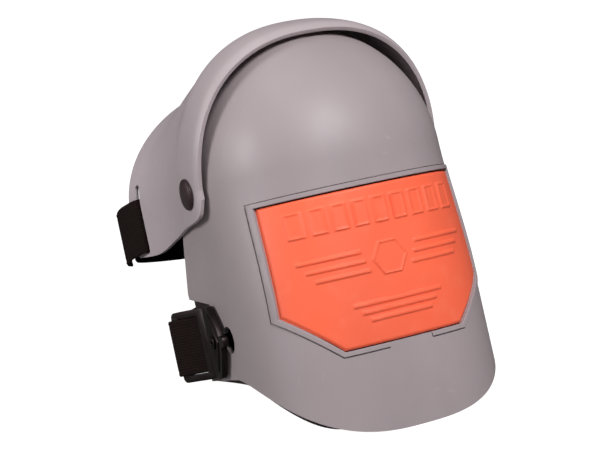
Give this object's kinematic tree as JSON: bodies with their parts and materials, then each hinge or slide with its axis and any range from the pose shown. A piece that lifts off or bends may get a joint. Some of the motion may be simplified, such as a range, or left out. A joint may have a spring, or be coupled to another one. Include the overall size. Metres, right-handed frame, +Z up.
{
  "type": "hinged hard-shell knee pad",
  "caption": "Hinged hard-shell knee pad: domed grey knee and shin shell with a ribbed orange rubber insert, a hooded thigh cuff on side rivets, foam liners and black strap clips.",
  "frame": {"origin": "centre of the overall box on the surface that the pad stands on", "axes": "+X across the leg to the wearer's left, +Y backwards towards the calf, +Z up; the shin line leans back 17.2 degrees, as the pad stands on its lower edge"},
  "size_m": [0.2142, 0.2809, 0.2376],
  "materials": {
    "grey_shell": "satin moulded plastic, warm mid grey",
    "orange_rubber": "matt coral-orange rubber with moulded grip ribs",
    "foam": "black fabric-faced closed-cell foam",
    "webbing": "black woven webbing",
    "black_plastic": "satin black moulded plastic"
  },
  "bodies": {
    "lower": {"lower_shell": "grey_shell", "knee_insert": "orange_rubber", "knee_foam": "foam", "knee_cushion": "foam", "pivot_rivet_left": "black_plastic", "pivot_rivet_right": "black_plastic", "pivot_spacer_left": "black_plastic", "pivot_spacer_right": "black_plastic", "rivet_cap_left": "black_plastic", "rivet_cap_right": "black_plastic", "shin_strap": "webbing"},
    "thigh": {"thigh_cuff": "grey_shell", "thigh_foam": "foam", "thigh_strap": "webbing", "thigh_loop_left": "webbing", "thigh_loop_right": "webbing"},
    "clip_left": {"strap_clip_left": "black_plastic", "clip_button_left": "black_plastic", "shin_loop_left": "webbing"},
    "clip_right": {"strap_clip_right": "black_plastic", "clip_button_right": "black_plastic", "shin_loop_right": "webbing"}
  },
  "joints": [
    {"name": "knee_hinge", "type": "hinge", "parent": "lower", "child": "thigh", "pos_m": [0, 0.0004, 0.1357], "axis": [1, 0, 0], "range_deg": [-20, 70]},
    {"name": "clip_slide_left", "type": "slide", "parent": "lower", "child": "clip_left", "axis": [0, -0.9553, 0.2957], "range_m": [0, 0.015]},
    {"name": "clip_slide_right", "type": "slide", "parent": "lower", "child": "clip_right", "axis": [0, -0.9553, 0.2957], "range_m": [0, 0.015]}
  ]
}
